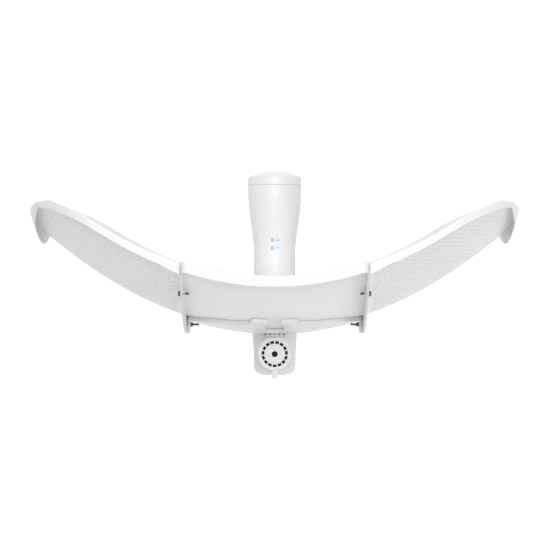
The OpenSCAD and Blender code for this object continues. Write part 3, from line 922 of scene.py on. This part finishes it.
@dataclass
class WingPanel(Maker):
    """A wing: fine perforated sheet in a plain pressed rim, with the flange that bolts it on."""

    side: Side = Side.RIGHT
    half_height: float = 0.2025
    end_x: float = 0.2925
    corner: tuple[float, float] = (0.0895, 0.092)
    turn: float = math.radians(19.5)
    lip_depth: float = 0.0142
    end_depth: float = 0.0275
    flange_depth: float = 0.014
    flange_extra: float = 0.009
    inner_x: float = PARTING_X + PARTING_GAP
    row_pitch: float = 0.00535
    row_growth: float = 0.005
    growth_from: float = 0.210
    row_from: float = 0.106
    row_to: float = 0.345
    half_row: int = 62
    widest_turn: float = 1.5
    roll_from: float = 0.258
    roll_span: float = 0.026
    deep_lip_from: float = 0.279
    deep_lip_span: float = 0.0140
    turn_step: float = 0.0275
    hole: float = 0.0013
    mesh_wall: float = 0.00088
    edge_margin: float = 0.0090
    end_margin: float = 0.0255
    joint_margin: float = 0.0073

    def at_end(self, x: float) -> float:
        """Return 0 over most of the wing, eased to 1 at its end."""
        return smoothstep((x - self.roll_from) / self.roll_span)

    def lip_at(self, x: float, z: float) -> LipPoint:
        """Return the lip at a point of the edge, which gives way to the flange at the joint.

        Args:
            x: The point's X.
            z: The point's Z.

        Returns:
            The lip there.
        """
        at_joint = smoothstep((self.inner_x + 0.003 - x) / 0.003)
        turned = Vector((-math.sin(self.turn), -math.cos(self.turn), 0.0))
        way = turned.lerp(Vector((0.0, -1.0, 0.0)), smoothstep((self.inner_x + 0.03 - x) / 0.03)).normalized()
        flange = self.flange_depth + self.flange_extra * (1 - (z / CENTRE_HALF_HEIGHT) ** 2)
        deep = smoothstep((x - self.deep_lip_from) / self.deep_lip_span)
        plain = self.lip_depth + (self.end_depth - self.lip_depth) * deep
        depth = plain * (1 - at_joint) + flange * at_joint
        return LipPoint(way, depth, 0.0030 + 0.0140 * self.at_end(x) - 0.0010 * at_joint)

    def reach_at(self, x: float, z: float) -> float:
        """Return how far in the plain rim reaches from a point of the edge.

        Args:
            x: The point's X.
            z: The point's Z; not used.

        Returns:
            The rim's width there.
        """
        at_joint = smoothstep((self.inner_x + 0.003 - x) / 0.003)
        return 0.0070 + 0.0145 * self.at_end(x) - 0.0011 * at_joint

    def mirrored(self, obj: bpy.types.Object) -> bpy.types.Object:
        """Return the object, turned into the left wing's if this is the left wing."""
        if self.side is Side.LEFT:
            Workshop.place(obj, Matrix.Diagonal((-1, 1, 1, 1)))
        return obj

    def build_rim(self) -> bpy.types.Object:
        """Return the plain pressed rim, with its lip and flange."""
        label = self.side.name.lower()
        outline = PanelOutline(self.inner_x, self.end_x, self.half_height, (0.003, 0.003), self.corner)
        sheet = PressedSheet(f"{label}_wing_rim", outline, self.lip_at, self.reach_at)
        obj = Workshop.smooth(self.mirrored(sheet.build()), 40)
        return self.finish(obj, self.finishes.powder, Body.ANTENNA, "perforated_steel", [f"{label}_panel"])

    def within(self, x: float, z: float, joint: float, edge: float, end: float) -> bool:
        """Return whether a point of the wing lies clear of its outline.

        Args:
            x: The point's X.
            z: The point's Z.
            joint: How far it must be from the joint.
            edge: How far from the upper and lower edges.
            end: How far from the wing's end.

        Returns:
            Whether it is clear of all three.
        """
        if x < self.inner_x + joint or x > self.end_x - end or abs(z) > self.half_height - edge:
            return False
        cx, cz = self.end_x - self.corner[0], self.half_height - self.corner[1]
        if x > cx and abs(z) > cz:
            return ((x - cx) / (self.corner[0] - end)) ** 2 + ((abs(z) - cz) / (self.corner[1] - edge)) ** 2 < 1
        return True

    def tucked(self, x: float, z: float) -> tuple[float, float]:
        """Return a point moved in, if it must be, so that the rim hides the sheet's own edge.

        Args:
            x: The point's X.
            z: The point's Z.

        Returns:
            The point, at least a little inside the outline.
        """
        joint, edge, end = 0.0024, 0.0042, 0.0185
        x = min(max(x, self.inner_x + joint), self.end_x - end)
        z = max(min(z, self.half_height - edge), edge - self.half_height)
        cx, cz = self.end_x - self.corner[0], self.half_height - self.corner[1]
        if x > cx and abs(z) > cz:
            a, b = self.corner[0] - end, self.corner[1] - edge
            far = math.sqrt(((x - cx) / a) ** 2 + ((abs(z) - cz) / b) ** 2)
            if far > 1:
                x, z = cx + (x - cx) / far, math.copysign(cz + (abs(z) - cz) / far, z)
        return x, z

    def _cell(self, radius: float, turn: float, below: float, above: float) -> list[tuple[float, float]]:
        """Return the six corners of a cell of the pattern, the outermost first.

        Args:
            radius: The cell's distance from the boresight.
            turn: Its angle about the boresight.
            below: The distance to the next row in.
            above: The distance to the next row out.

        Returns:
            The corners, in X and Z.
        """
        half = self.turn_step / 2
        polar = [(radius + above * 2 / 3, turn), (radius + above / 3, turn + half), (radius - below / 3, turn + half),
                 (radius - below * 2 / 3, turn), (radius - below / 3, turn - half), (radius + above / 3, turn - half)]
        return [self.tucked(r * math.cos(t), r * math.sin(t)) for r, t in polar]

    def build_mesh(self) -> bpy.types.Object:
        """Return the perforated sheet: staggered rows of round holes that run round the boresight."""
        points: list[tuple[float, float]] = []
        faces: list[tuple[int, ...]] = []
        radius, below, row = self.row_from, self.row_pitch, 0
        while radius < self.row_to:
            above = self.row_pitch + self.row_growth * (radius - self.growth_from)
            for i in range(-self.half_row, self.half_row + 1):
                turn = (i + (0.5 if row % 2 else 0.0)) * self.turn_step
                x, z = radius * math.cos(turn), radius * math.sin(turn)
                if abs(turn) > self.widest_turn or not self.within(x, z, 0.0020, 0.0030, 0.0165):
                    continue
                first = len(points)
                points += self._cell(radius, turn, below, above)
                if not self.within(x, z, self.joint_margin, self.edge_margin, self.end_margin):
                    faces.append(tuple(first + k for k in range(6)))
                    continue
                for k in range(12):
                    angle = turn + math.radians(30 * k)
                    points.append((x + self.hole * math.cos(angle), z + self.hole * math.sin(angle)))
                for k in range(6):
                    ring = [first + 6 + (2 * k + step) % 12 for step in (2, 1, 0)]
                    faces.append((first + k, first + (k + 1) % 6, *ring))
            radius, below, row = radius + above, above, row + 1
        pressed = [Vector((x, para(x, z) - 0.00013, z)) + VERTEX for x, z in points]
        obj = Workshop.mesh(f"{self.side.name.lower()}_wing_mesh", pressed, faces)
        Workshop.edit(obj, lambda: bpy.ops.mesh.remove_doubles(threshold=0.00008),
                      lambda: bpy.ops.mesh.dissolve_degenerate(threshold=0.00002))
        face_forward(obj)
        Workshop.thicken(obj, self.mesh_wall)
        Workshop.smooth(self.mirrored(obj), 40)
        return self.finish(obj, self.finishes.perforated, Body.ANTENNA, "perforated_steel",
                           [f"{self.side.name.lower()}_panel"])

    def build(self) -> None:
        """Build both pieces of the wing."""
        self.build_rim()
        self.build_mesh()


@dataclass
class JointHardware(Maker):
    """The six bolts that hold the wings and their nuts; the clinch bushes stay as the CAD node."""

    shank: float = 0.0015
    flange_radius: float = 0.0036
    head_across: float = 0.0055

    def _bolt(self, length: float) -> bpy.types.Object:
        """Return a flanged hexagon bolt along +X: its head's seat is at the origin.

        Args:
            length: Length of the shank.

        Returns:
            The bolt.
        """
        flange = Workshop.turned("flange", [(0.0, 0.0), (self.flange_radius, 0.0), (self.flange_radius, 0.00045),
                                            (self.flange_radius * 0.86, 0.0009), (0.0, 0.0009)], 40)
        head = Workshop.cylinder("head", self.head_across / math.sqrt(3), 0.0018, 6)
        Workshop.bevel(head, 0.00035, 2)
        Workshop.place(head, Matrix.Translation((0, 0, 0.0017)))
        profile = [(0.0, -length)]
        ridge, pitch = 0.00022, 0.0007
        turns = int((length - 0.003) / pitch)
        profile.append((self.shank - ridge, -length))
        for k in range(turns):
            base = -length + pitch * k + pitch * 0.2
            profile += [(self.shank - ridge, base), (self.shank, base + pitch * 0.35),
                        (self.shank, base + pitch * 0.5), (self.shank - ridge, base + pitch * 0.8)]
        profile += [(self.shank, -0.0022), (self.shank, 0.0), (0.0, 0.0)]
        thread = Workshop.turned("thread", profile, 28)
        bolt = Workshop.join("bolt", [head, flange, thread])
        Workshop.place(bolt, FACE_RIGHT)
        return Workshop.smooth(bolt, 30)

    def _nut(self) -> bpy.types.Object:
        """Return a hexagon nut along X, centred at the origin, with its threaded bore."""
        nut = Workshop.cylinder("nut", self.head_across / math.sqrt(3), 0.0031, 6)
        Workshop.cut(nut, Workshop.cylinder("bore", self.shank, 0.01, 32))
        Workshop.bevel(nut, 0.0003, 2, 50)
        Workshop.place(nut, Matrix.Rotation(math.radians(30), 4, "Z"))
        Workshop.place(nut, FACE_RIGHT)
        return Workshop.smooth(nut, 30)

    def build(self) -> None:
        """Build and place every bolt and nut."""
        seat = PARTING_X + PARTING_GAP + FLANGE
        long_bolt, short_bolt, nut = self._bolt(0.0173), self._bolt(0.0103), self._nut()
        bolts, nuts = [], []
        for s in (1, -1):
            mirror = Matrix.Diagonal((s, 1, 1, 1))
            at = mirror @ Matrix.Translation((seat, BOLT_Y, 0.0))
            bolts.append(Workshop.copy(long_bolt, "bolt", Matrix.Translation(VERTEX) @ at))
            for t in (1, -1):
                at = mirror @ Matrix.Translation((seat, OUTER_BOLT[0], t * OUTER_BOLT[1]))
                turn = Matrix.Rotation(0.4 * t, 4, "X")
                bolts.append(Workshop.copy(short_bolt, "bolt", Matrix.Translation(VERTEX) @ at @ turn))
            nut_x = PARTING_X - PARTING_GAP - FLANGE - 0.0033 - 0.0016
            at = mirror @ Matrix.Translation((nut_x, BOLT_Y, 0.0))
            nuts.append(Workshop.copy(nut, "nut", Matrix.Translation(VERTEX) @ at))
        for spare in (long_bolt, short_bolt, nut):
            bpy.data.objects.remove(spare, do_unlink=True)
        self.finish(Workshop.join("wing_bolts", bolts), self.finishes.dark_bolt, Body.ANTENNA, "dark_zinc",
                    ["panel_bolts"])
        self.finish(Workshop.join("wing_nuts", nuts), self.finishes.dark_bolt, Body.ANTENNA, "dark_zinc",
                    ["panel_nuts"])


# ---------------------------------------------------------------------------------------------
# Feed
# ---------------------------------------------------------------------------------------------


@dataclass
class FeedTube(Maker):
    """The tube through the reflector, its flared head, its cap, its lights and their legends."""

    tube_r: float = 0.0255
    head_r: float = 0.033
    wall: float = 0.0022
    flare_from: float = 0.090
    flare_to: float = 0.170
    seam: float = 0.1759
    reach: float = 0.1932
    plug_r: float = 0.0229
    light_y: tuple[float, float] = (0.099, 0.109)
    light_x: tuple[float, float] = (-0.0042, -0.0008)
    light_half: float = 0.00245

    def _flare(self, steps: int = 28) -> list[tuple[float, float]]:
        """Return the flare's outer line from the tube to the head."""
        line = []
        for k in range(steps + 1):
            t = k / steps
            line.append((self.tube_r + (self.head_r - self.tube_r) * smoothstep(t),
                         self.flare_from + (self.flare_to - self.flare_from) * t))
        return line

    def build_tube(self) -> bpy.types.Object:
        """Return the tube and its head, with the light windows cut through."""
        flare = self._flare()
        shoulder = 0.0026
        outer = [(self.plug_r - 0.0006, -0.0110), (self.plug_r, -0.0104), (self.plug_r, shoulder),
                 (self.tube_r - 0.0005, shoulder), (self.tube_r, shoulder + 0.0005)]
        outer += flare + [(self.head_r, self.seam - 0.0006), (self.head_r - 0.0005, self.seam)]
        inner = [(self.head_r - self.wall, self.seam)]
        inner += [(r - self.wall, y) for r, y in reversed(flare)]
        inner += [(self.tube_r - self.wall, shoulder + 0.003), (self.plug_r - self.wall, shoulder + 0.003),
                  (self.plug_r - self.wall, -0.0110)]
        obj = Workshop.turned("feed_tube_moulding", outer + inner, 128, closed=True)
        Workshop.place(obj, FACE_FORWARD)
        for y in self.light_y:
            window = Workshop.block("window", (self.light_x[1] - self.light_x[0], 2 * self.light_half, 0.012))
            Workshop.bevel(window, 0.0007, 3)
            Workshop.place(window, Matrix.Translation((sum(self.light_x) / 2, y, 0.0265)))
            Workshop.cut(obj, window)
        slot = Workshop.block("latch_slot", (0.0046, 0.012, 0.02))
        Workshop.place(slot, Matrix.Translation((0, -0.0094, 0.0225)))
        Workshop.cut(obj, slot)
        Workshop.place(obj, Matrix.Translation(VERTEX))
        Workshop.smooth(obj, 32)
        return self.finish(obj, self.finishes.moulding, Body.ANTENNA, "white_plastic", ["feed_tube"])

    def build_cap(self) -> bpy.types.Object:
        """Return the domed cap that closes the head."""
        r, y, t = self.head_r, self.seam + 0.00015, 0.003
        line = [(r - self.wall - 0.0017, self.seam - 0.005), (r - self.wall - 0.0001, self.seam - 0.005),
                (r - self.wall - 0.0001, y), (r - 0.0005, y), (r, y + 0.0006)]
        line += [(r - t + t * math.cos(a), self.reach - 0.0085 + t * math.sin(a))
                 for a in (math.radians(9 * k) for k in range(11))]
        crown = [(0.026, 0.0041), (0.022, 0.0026), (0.018, 0.0014), (0.014, 0.0007), (0.007, 0.00015), (0.0, 0.0)]
        line += [(cr, self.reach - drop) for cr, drop in crown]
        line += [(cr, self.reach - drop - 0.0022) for cr, drop in reversed(crown[1:])]
        line += [(r - self.wall - 0.0017, self.reach - 0.0084)]
        obj = Workshop.turned("feed_cap_moulding", line, 128, closed=True)
        Workshop.place(obj, Matrix.Translation(VERTEX) @ FACE_FORWARD)
        Workshop.smooth(obj, 32)
        return self.finish(obj, self.finishes.moulding, Body.ANTENNA, "white_plastic", ["feed_cap"])

    def build_lights(self) -> bpy.types.Object:
        """Return the two light guides, crowned to follow the tube."""
        guides = []
        for y in self.light_y:
            guide = Workshop.block("guide", (self.light_x[1] - self.light_x[0] - 0.0001,
                                             2 * self.light_half - 0.0001, 0.020))
            Workshop.bevel(guide, 0.0006, 3)
            Workshop.place(guide, Matrix.Translation((sum(self.light_x) / 2, y, 0.01545)))
            guides.append(guide)
        obj = Workshop.join("status_light_guides", guides)
        Workshop.place(obj, Matrix.Translation(VERTEX))
        Workshop.smooth(obj, 40)
        return self.finish(obj, self.finishes.light, Body.ANTENNA, "light_guide", ["light_guides"])

    def _arc(self, radius: float, width: float, start: float, end: float) -> bpy.types.Object:
        """Return a flat curved stroke in X and Y.

        Args:
            radius: The stroke's middle radius.
            width: Its width.
            start: Its first angle, in degrees.
            end: Its last angle, in degrees.

        Returns:
            The stroke, at z = 0.
        """
        steps = 12
        points, faces = [], []
        for k in range(steps + 1):
            a = math.radians(start + (end - start) * k / steps)
            for r in (radius - width / 2, radius + width / 2):
                points.append((r * math.cos(a), r * math.sin(a), 0.0))
        for k in range(steps):
            faces.append((2 * k, 2 * k + 1, 2 * k + 3, 2 * k + 2))
        return Workshop.mesh("stroke", points, faces)

    def build_legends(self) -> bpy.types.Object:
        """Return two plain printed signs beside the lights: radio waves, and a socket."""
        strokes = []
        for radius in (0.0010, 0.0019, 0.0028):
            arc = self._arc(radius, 0.0004, 50, 130)
            strokes.append(Workshop.place(arc, Matrix.Translation((0.0036, self.light_y[0] - 0.0014, 0))))
        socket = ((0.0038, 0.0005, 0, 0.0014), (0.0038, 0.0005, 0, -0.0014), (0.0005, 0.0033, -0.0019, 0),
                  (0.0005, 0.0033, 0.0019, 0), (0.0016, 0.0010, 0, -0.0006))
        for sx, sy, cx, cy in socket:
            bar = Workshop.mesh("bar", [(cx - sx / 2, cy - sy / 2, 0), (cx + sx / 2, cy - sy / 2, 0),
                                        (cx + sx / 2, cy + sy / 2, 0), (cx - sx / 2, cy + sy / 2, 0)], [(0, 1, 2, 3)])
            strokes.append(Workshop.place(bar, Matrix.Translation((0.0036, self.light_y[1], 0))))
        obj = Workshop.join("status_legends", strokes)
        Workshop.agree(obj)
        for v in obj.data.vertices:
            t = max(0.0, min(1.0, (v.co.y - self.flare_from) / (self.flare_to - self.flare_from)))
            radius = self.tube_r + (self.head_r - self.tube_r) * smoothstep(t) + 0.00006
            v.co.z = math.sqrt(radius ** 2 - v.co.x ** 2)
        if sum(f.normal.z for f in obj.data.polygons) < 0:
            obj.data.flip_normals()
        Workshop.thicken(obj, 0.0001)
        Workshop.place(obj, Matrix.Translation(VERTEX))
        return self.finish(obj, self.finishes.legend, Body.ANTENNA, "dark_plastic")

    def build(self) -> None:
        """Build the feed's pieces."""
        self.build_tube()
        self.build_cap()
        self.build_lights()
        self.build_legends()


# ---------------------------------------------------------------------------------------------
# Carried-over CAD nodes
# ---------------------------------------------------------------------------------------------


@dataclass
class LatchPaintedShadow(Maker):
    """Painted shade: a near-black pad under the slots of the feed's latch, standing in for the shade inside them."""

    inner_r: float = 0.02294
    outer_r: float = 0.02312
    half_angle: float = 31.0
    span: tuple[float, float] = (-0.0079, -0.0021)

    def build(self) -> bpy.types.Object:
        """Return the painted shade: a thin near-black curved pad on the feed's plug, under the latch's slots."""
        points, faces = [], []
        for k in range(25):
            turn = math.radians(-self.half_angle + 2 * self.half_angle * k / 24)
            for y in self.span:
                points.append((self.inner_r * math.sin(turn), y, self.inner_r * math.cos(turn)))
        for k in range(24):
            faces.append((2 * k, 2 * k + 1, 2 * k + 3, 2 * k + 2))
        pad = Workshop.mesh("latch_painted_shadow", points, faces)
        if sum(f.normal.z for f in pad.data.polygons) < 0:
            pad.data.flip_normals()
        Workshop.thicken(pad, self.outer_r - self.inner_r, 1.0)
        Workshop.place(pad, Matrix.Translation(VERTEX))
        Workshop.smooth(pad, 30)
        # The pad is painted shade for the latch's slots.
        return self.finish(pad, self.finishes.shadow_well, Body.ANTENNA, "dark_plastic")


@dataclass
class RoundedNodes(Maker):
    """CAD shapes whose edges a mould or a press would round: copied, rounded and put in their place."""

    nodes: dict[str, bpy.types.Object] = field(default_factory=dict)

    def rounded(self, node: str, width: float, finish: Finish, body: Body, slot: str) -> bpy.types.Object:
        """Put a copy with rounded edges in a node's place.

        Args:
            node: The CAD node.
            width: The round's width.
            finish: The copy's finish.
            body: The body it rides on.
            slot: The material slot's name.

        Returns:
            The copy.
        """
        twin = Workshop.copy(self.nodes[node], f"{node}_moulded", Matrix.Identity(4))
        Workshop.edit(twin, lambda: bpy.ops.mesh.remove_doubles(threshold=0.000008),
                      lambda: bpy.ops.mesh.dissolve_limited(angle_limit=math.radians(1.0)))
        Workshop.agree(twin)
        Workshop.bevel(twin, width, 2, 38.0)
        Workshop.smooth(twin, 30)
        return self.finish(twin, finish, body, slot, [node])

    def build(self) -> None:
        """Round the dial, the latch, the cover and the castings."""
        f = self.finishes
        # The housing, dial, latch and cover wear the darker white of painted shade.
        self.rounded("azimuth_dial", 0.00022, f.housing, Body.SWIVEL, "white_plastic")
        self.rounded("feed_latch", 0.00015, f.housing, Body.LATCH, "white_plastic")
        self.rounded("port_cover", 0.0002, f.housing, Body.COVER, "white_plastic")
        self.rounded("rear_housing", 0.0003, f.housing, Body.ANTENNA, "white_plastic")
        self.rounded("swivel_column", 0.0005, f.casting, Body.SWIVEL, "cast_grey")
        self.rounded("pole_bracket", 0.0005, f.casting, Body.MOUNT, "cast_grey")


@dataclass
class CarriedNodes(Maker):
    """The CAD nodes that keep their own shape and get a finish."""

    nodes: dict[str, bpy.types.Object] = field(default_factory=dict)

    def table(self) -> dict[str, Finish]:
        """Return the finish of each node that stays visible."""
        f = self.finishes
        return {
            "centre_panel": f.powder, "left_panel": f.perforated, "right_panel": f.perforated,
            "panel_bolts": f.dark_bolt, "panel_nuts": f.dark_bolt, "clinch_nuts": f.powder,
            "rear_housing": f.housing, "bracket_rivets": f.powder, "feed_tube": f.moulding, "feed_cap": f.moulding,
            "cap_seal": f.rubber, "tube_gasket": f.rubber, "feed_latch": f.housing, "main_board": f.board,
            "shield_cans": f.tin, "feed_radiator": f.brass, "splash_plate": f.tin, "light_guides": f.light,
            "link_flex": f.flex, "port_board": f.board, "ethernet_jack": f.tin, "reset_button": f.dark_plastic,
            "port_cover": f.housing, "port_hinge_pin": f.stainless, "swivel_column": f.casting,
            # The retaining washer and swivel bolt wear near-black: black oxide, and painted shade for the dial's
            # slots and centre hole.
            "swivel_washer": f.acetal, "swivel_seal": f.rubber, "retaining_washer": f.black_oxide_and_painted_shade,
            "swivel_bolt": f.black_oxide_and_painted_shade, "azimuth_dial": f.housing, "pole_bracket": f.casting,
            "elevation_bolt": f.stainless, "elevation_nut": f.stainless, "elevation_washers": f.acetal,
            "clamp_bands": f.stainless, "clamp_housings": f.stainless, "upper_clamp_screw": f.stainless,
            "lower_clamp_screw": f.stainless,
        }

    def build(self) -> None:
        """Give every node its finish."""
        for name, finish in self.table().items():
            obj = self.nodes[name]
            material = finish.material(self.effects)
            if not obj.material_slots:
                obj.data.materials.append(material)
            for slot in obj.material_slots:
                slot.material = material
            log.info("%s wears %s", name, finish.name)


# ---------------------------------------------------------------------------------------------
# Studio
# ---------------------------------------------------------------------------------------------


@dataclass
class Studio:
    """The camera, the floor and the lights."""

    distance: float = 3.086
    ahead: float = 0.0475
    tip: float = math.radians(0.354)
    lens: float = 165.1
    floor_drop: float = 1.5

    def camera(self) -> None:
        """Put the camera straight above the bridge."""
        data = bpy.data.cameras.new("camera")
        data.lens = self.lens
        data.sensor_width = 36.0
        data.clip_end = 50.0
        camera = bpy.data.objects.new("camera", data)
        camera.location = VERTEX + Vector((0.0004, self.ahead, self.distance))
        camera.rotation_euler = (self.tip, 0.0, 0.0)
        bpy.context.scene.collection.objects.link(camera)
        bpy.context.scene.camera = camera

    def floor(self) -> None:
        """Lay a plain pale floor well below the bridge."""
        Workshop.clear()
        bpy.ops.mesh.primitive_plane_add(size=40.0, location=(0, 0, -self.floor_drop))
        plane = bpy.context.object
        plane.name = "studio_floor"
        material = bpy.data.materials.new("pale_floor")
        material.use_nodes = True
        shader = next(n for n in material.node_tree.nodes if n.type == "BSDF_PRINCIPLED")
        shader.inputs["Base Color"].default_value = (0.93, 0.93, 0.93, 1.0)
        shader.inputs["Roughness"].default_value = 0.9
        shader.inputs["Emission Color"].default_value = (1.0, 1.0, 1.0, 1.0)
        shader.inputs["Emission Strength"].default_value = 0.55
        plane.data.materials.append(material)

    def _panel(self, name: str, place: Sequence[float], aim: Sequence[float], size: float, power: float) -> None:
        """Hang a square soft light.

        Args:
            name: The light's name.
            place: Where it hangs.
            aim: The point it faces.
            size: Its side.
            power: Its power in watts.
        """
        data = bpy.data.lights.new(name, "AREA")
        data.shape = "SQUARE"
        data.size = size
        data.energy = power
        light = bpy.data.objects.new(name, data)
        light.location = place
        light.rotation_euler = (Vector(aim) - Vector(place)).to_track_quat("-Z", "Y").to_euler()
        bpy.context.scene.collection.objects.link(light)

    def lights(self) -> None:
        """Hang the key above and the fills around, in an even pale room."""
        self._panel("key", (-0.10, 0.9, 3.4), (0, 0.05, 0.1), 2.4, 78.0)
        self._panel("fill_back", (0.3, -2.8, 1.5), (0, 0, 0.1), 2.2, 17.0)
        self._panel("fill_front", (-0.4, 3.0, 1.4), (0, 0.1, 0.1), 2.2, 12.0)
        self._panel("side_strip", (2.5, -0.75, 1.55), (0, 0.05, 0.1), 1.1, 12.0)
        bpy.context.scene.view_settings.view_transform = "Standard"
        world = bpy.data.worlds.new("pale_room")
        world.use_nodes = True
        back = world.node_tree.nodes["Background"]
        back.inputs["Color"].default_value = (1.0, 1.0, 1.0, 1.0)
        back.inputs["Strength"].default_value = 0.42
        bpy.context.scene.world = world

    def build(self) -> None:
        """Set the whole studio."""
        self.camera()
        self.floor()
        self.lights()


def main() -> None:
    """Build every sub-assembly in order."""
    logging.basicConfig(level=logging.INFO, format="%(name)s: %(message)s", stream=sys.stdout)
    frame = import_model()
    Studio().build()
    effects, finishes = EffectLibrary(), Finishes()
    CarriedNodes(effects, finishes, frame["nodes"]).build()
    CentrePanel(effects, finishes).build()
    for side in Side:
        WingPanel(effects, finishes, side).build()
    JointHardware(effects, finishes).build()
    FeedTube(effects, finishes).build()
    LatchPaintedShadow(effects, finishes).build()
    RoundedNodes(effects, finishes, frame["nodes"]).build()


if __name__ == "__main__":
    main()
